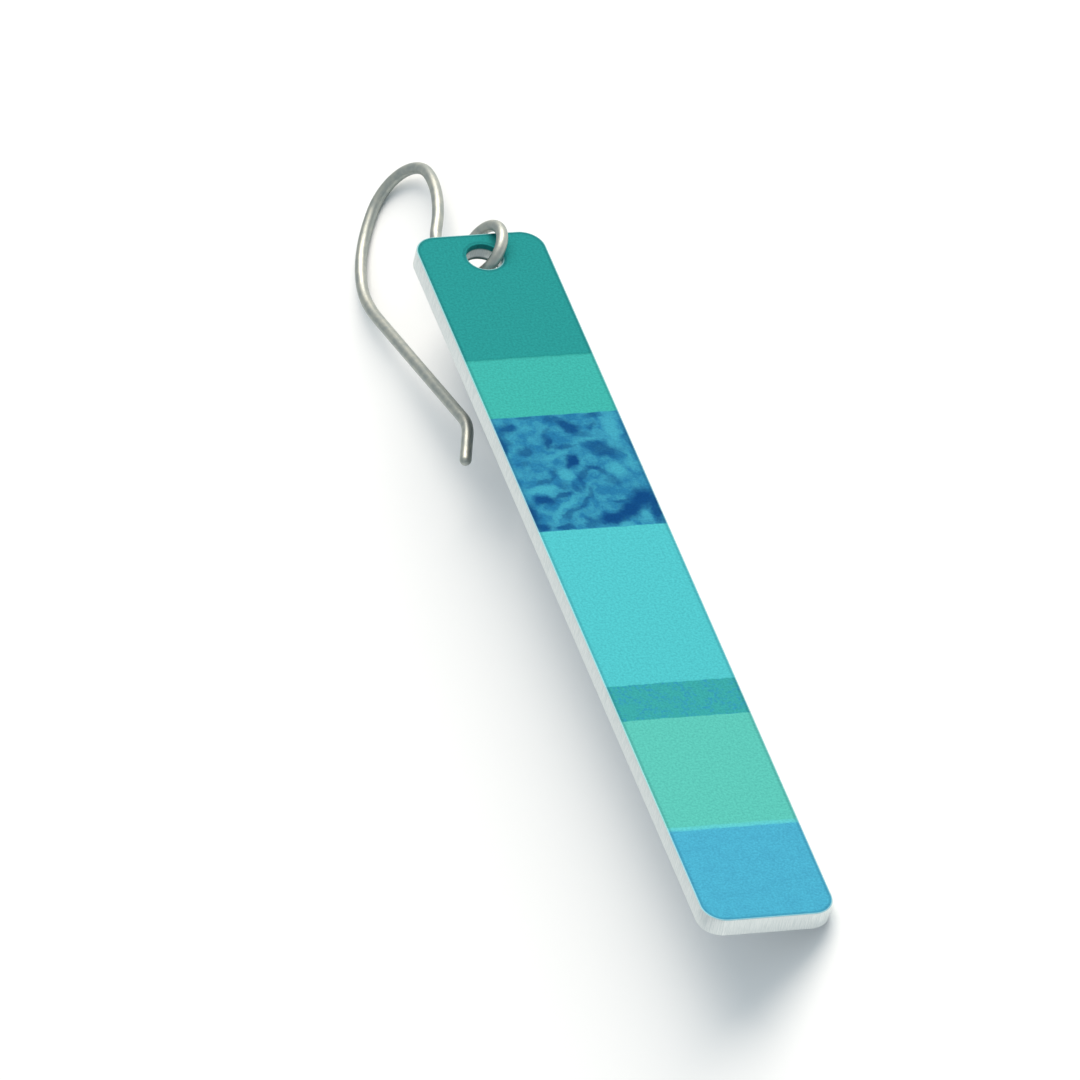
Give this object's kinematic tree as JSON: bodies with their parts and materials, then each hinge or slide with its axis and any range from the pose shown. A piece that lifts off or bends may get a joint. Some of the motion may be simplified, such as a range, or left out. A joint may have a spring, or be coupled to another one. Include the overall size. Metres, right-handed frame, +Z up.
{
  "type": "bar earring",
  "caption": "Drop earring made of a flat anodised aluminium bar in blue and green blocks on a round French ear wire.",
  "frame": {"origin": "on the floor, under the middle of the lying earring", "axes": "+Y along the bar to its end with the hole, +Z up from the floor it lies on, the bar's face turned up and to the right (+X)"},
  "size_m": [0.012, 0.0694, 0.0068],
  "materials": {
    "bar": "anodised and dyed in blue and green blocks, satin, with a bare edge",
    "ear_wire": "satin silver wire"
  },
  "bodies": {
    "root": {"bar": "bar", "ear_wire": "ear_wire"}
  },
  "joints": []
}
